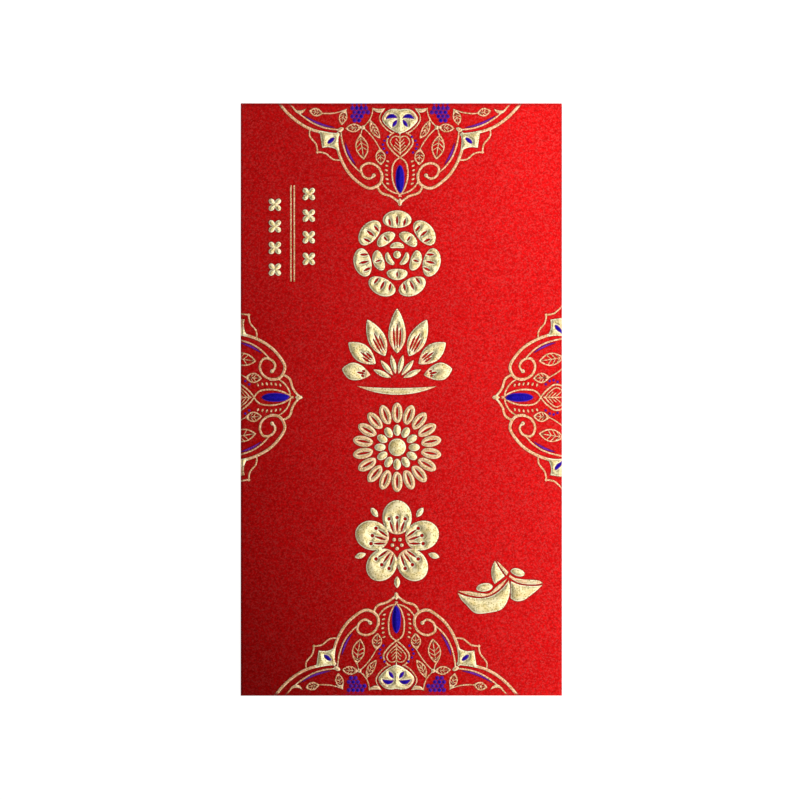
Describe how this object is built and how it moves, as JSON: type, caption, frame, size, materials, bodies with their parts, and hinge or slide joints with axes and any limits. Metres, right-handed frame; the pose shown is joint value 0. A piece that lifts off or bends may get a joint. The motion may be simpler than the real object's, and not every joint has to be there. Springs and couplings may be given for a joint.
{
  "type": "red envelope",
  "caption": "Red gift envelope of pearl card with a hinged back flap, glued back seam and bottom flap, and raised gold foil flowers, rules, ingots and edge medallions with blue inlay",
  "frame": {"origin": "middle of the back face that the envelope lies on", "axes": "+Z out of the decorated front, +Y to the top fold, +X to the right as seen from the front; it lies on its back, as an envelope can't stand on its edge"},
  "size_m": [0.09, 0.166, 0.0026],
  "materials": {
    "red_card": "satin",
    "gold_foil": "satin",
    "blue_foil": "satin",
    "glue": "matte"
  },
  "bodies": {
    "sleeve": {"front_panel": "red_card", "left_fold": "red_card", "right_fold": "red_card", "bottom_fold": "red_card", "top_fold": "red_card", "left_back_panel": "red_card", "right_back_panel": "red_card", "bottom_flap": "red_card", "seam_glue": "glue", "bottom_flap_glue": "glue", "top_medallion_foil": "gold_foil", "bottom_medallion_foil": "gold_foil", "left_medallion_foil": "gold_foil", "right_medallion_foil": "gold_foil", "peony_foil": "gold_foil", "lotus_foil": "gold_foil", "chrysanthemum_foil": "gold_foil", "plum_foil": "gold_foil", "double_rule_foil": "gold_foil", "left_floret_foil": "gold_foil", "right_floret_foil": "gold_foil", "front_ingot_foil": "gold_foil", "rear_ingot_foil": "gold_foil", "top_medallion_inlay": "blue_foil", "bottom_medallion_inlay": "blue_foil", "left_medallion_inlay": "blue_foil", "right_medallion_inlay": "blue_foil"},
    "flap": {"top_flap": "red_card"}
  },
  "joints": [
    {"name": "flap_hinge", "type": "hinge", "parent": "sleeve", "child": "flap", "pos_m": [0, 0.08188, 0.00112], "axis": [1, 0, 0], "range_deg": [0, 180], "deforming": ["top_fold"]}
  ]
}
